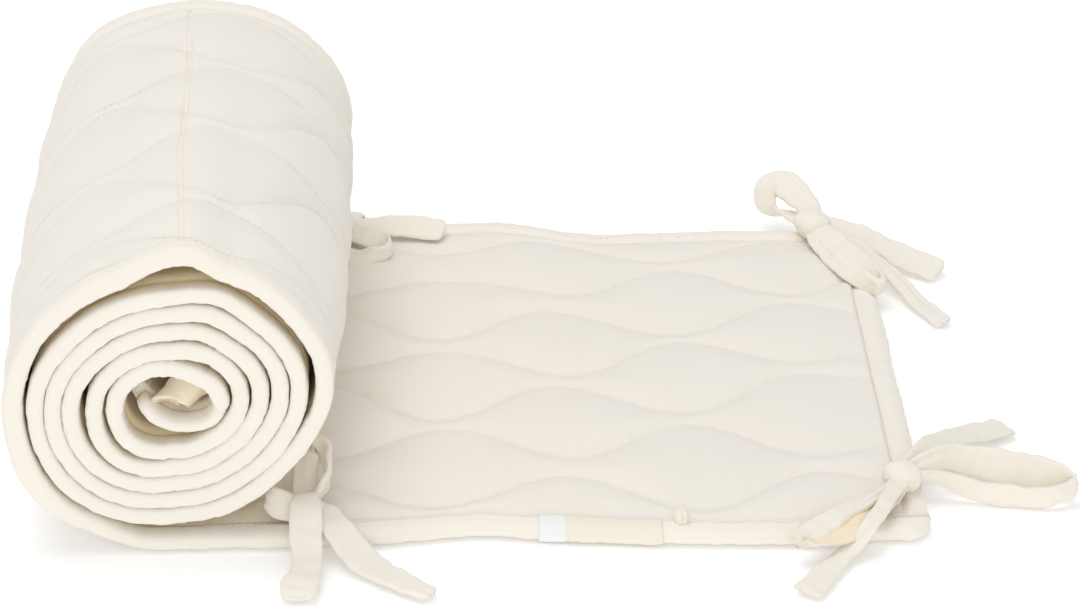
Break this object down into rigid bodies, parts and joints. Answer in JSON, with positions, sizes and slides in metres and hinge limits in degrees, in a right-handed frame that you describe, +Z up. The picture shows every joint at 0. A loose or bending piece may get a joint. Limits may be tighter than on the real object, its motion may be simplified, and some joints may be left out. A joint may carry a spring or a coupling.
{
  "type": "crib bumper",
  "caption": "Long quilted crib bumper pad, most of it rolled up and its end laid out flat, bound round the edge, with bow ties at its corners.",
  "frame": {"origin": "on the floor, under the middle of the roll", "axes": "+X along the flat part, away from the roll; +Y across the pad; +Z up"},
  "size_m": [0.4758, 0.3856, 0.1477],
  "materials": {
    "panel_cloth": "matt cream cotton, quilted",
    "binding_cloth": "matt cream cotton, folded over the edge",
    "tie_cloth": "matt cream cotton, sewn flat",
    "label_tape": "smooth woven tape, blank",
    "button_cloth": "cream cloth over a small round core"
  },
  "bodies": {
    "root": {"quilted_panel": "panel_cloth", "binding_near": "binding_cloth", "binding_far": "binding_cloth", "binding_flat_end": "binding_cloth", "binding_core_end": "binding_cloth", "tie_end_near": "tie_cloth", "tie_end_far": "tie_cloth", "tie_roll_near": "tie_cloth", "tie_roll_far": "tie_cloth", "tie_core": "tie_cloth", "label_blank": "label_tape", "button": "button_cloth"}
  },
  "joints": []
}
